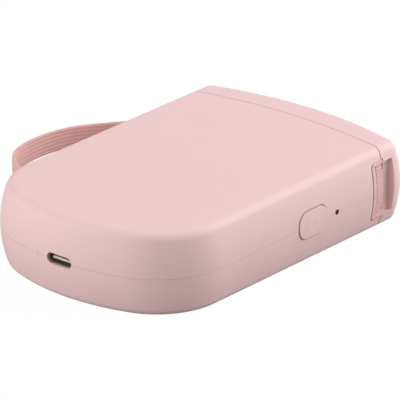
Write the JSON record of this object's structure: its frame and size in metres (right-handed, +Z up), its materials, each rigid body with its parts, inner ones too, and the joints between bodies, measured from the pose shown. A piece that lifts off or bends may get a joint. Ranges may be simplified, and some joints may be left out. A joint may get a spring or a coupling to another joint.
{
  "type": "pocket label printer",
  "caption": "Pocket label printer with a hinged end cover, side label slot with tear bar, power button, USB-C socket and a webbing wrist strap.",
  "frame": {"origin": "centre of the flat base, on the surface the printer lies on", "axes": "+X from the rounded socket end to the end cover, +Y from the button side to the strap side, +Z up from the base"},
  "size_m": [0.116, 0.097, 0.025],
  "materials": {
    "shell_pink": "satin moulded",
    "insert_pink": "satin moulded",
    "webbing_pink": "woven, ribbed lengthwise",
    "gear_white": "natural acetal",
    "plastic_black": "matt",
    "rubber_black": "ground",
    "foam_black": "foam",
    "board_green": "solder mask",
    "ribbon_amber": "polyimide film",
    "battery_silver": "foil pouch",
    "lamp_dark": "unlit lens",
    "lamp_clear": "clear light pipe",
    "steel": "plated",
    "brass": "turned",
    "aluminium": "extruded"
  },
  "bodies": {
    "housing": {"bottom_shell": "shell_pink", "top_shell": "shell_pink", "tear_bar": "insert_pink", "label_bay": "insert_pink", "gap_sensor": "plastic_black", "gear_axles": "steel", "mechanism_plate": "steel", "motor": "steel", "mechanism_screws": "steel", "head_bracket": "steel", "head_pivot_pin": "steel", "head_spring": "steel", "head_ribbon": "ribbon_amber", "main_board": "board_green", "board_chips": "plastic_black", "board_screws": "steel", "usb_shell": "steel", "usb_tongue": "plastic_black", "button_switch": "plastic_black", "battery": "battery_silver", "battery_pad": "foam_black", "battery_tabs": "steel", "status_lamp": "lamp_dark", "charge_lamp": "lamp_clear", "strap": "webbing_pink", "strap_anchors": "steel", "case_screws": "steel", "cover_catch": "steel", "cover_hinge_pin": "steel"},
    "cover": {"end_cover": "shell_pink", "platen_bushes": "gear_white"},
    "platen": {"platen_roller": "rubber_black", "platen_shaft": "steel", "platen_gear": "gear_white"},
    "idler": {"idler_gear": "gear_white"},
    "reduction": {"reduction_gear": "gear_white"},
    "rotor": {"motor_shaft": "steel", "motor_pinion": "brass"},
    "head": {"head_heat_sink": "aluminium", "print_head": "plastic_black"},
    "button": {"power_button": "shell_pink"},
    "plunger": {"switch_plunger": "gear_white"}
  },
  "joints": [
    {"name": "cover_hinge", "type": "hinge", "parent": "housing", "child": "cover", "pos_m": [0.0427, 0.0366, 0.0125], "axis": [0, 0, 1], "range_deg": [0, 90], "deforming": ["cover_catch"]},
    {"name": "platen_spin", "type": "hinge", "parent": "cover", "child": "platen", "pos_m": [0.0468, -0.029, 0.0125], "axis": [0, 0, 1], "continuous": true},
    {"name": "idler_spin", "type": "hinge", "parent": "housing", "child": "idler", "pos_m": [0.03832, -0.02953, 0.0042], "axis": [0, 0, 1], "continuous": true},
    {"name": "reduction_spin", "type": "hinge", "parent": "housing", "child": "reduction", "pos_m": [0.03169, -0.02601, 0.0035], "axis": [0, 0, 1], "continuous": true},
    {"name": "motor_spin", "type": "hinge", "parent": "housing", "child": "rotor", "pos_m": [0.02625, -0.01823, 0.0035], "axis": [0, 0, 1], "continuous": true},
    {"name": "head_tilt", "type": "hinge", "parent": "housing", "child": "head", "pos_m": [0.041, -0.0213, 0.0125], "axis": [0, 0, -1], "range_deg": [0, 1.5], "stiffness_Nm_per_rad": 0.5, "springref_deg": -5.73},
    {"name": "button_press", "type": "slide", "parent": "housing", "child": "button", "axis": [0, 1, 0], "range_m": [0, 0.0004], "stiffness_N_per_m": 1500, "springref_m": -0.0003},
    {"name": "plunger_travel", "type": "slide", "parent": "housing", "child": "plunger", "axis": [0, 1, 0], "range_m": [0, 0.0004]}
  ],
  "couplings": [
    {"joint": "idler_spin", "follows": "platen_spin", "ratio": -0.88889},
    {"joint": "reduction_spin", "follows": "platen_spin", "ratio": 1.3333},
    {"joint": "motor_spin", "follows": "platen_spin", "ratio": -3.7333},
    {"joint": "plunger_travel", "follows": "button_press", "ratio": 1}
  ]
}
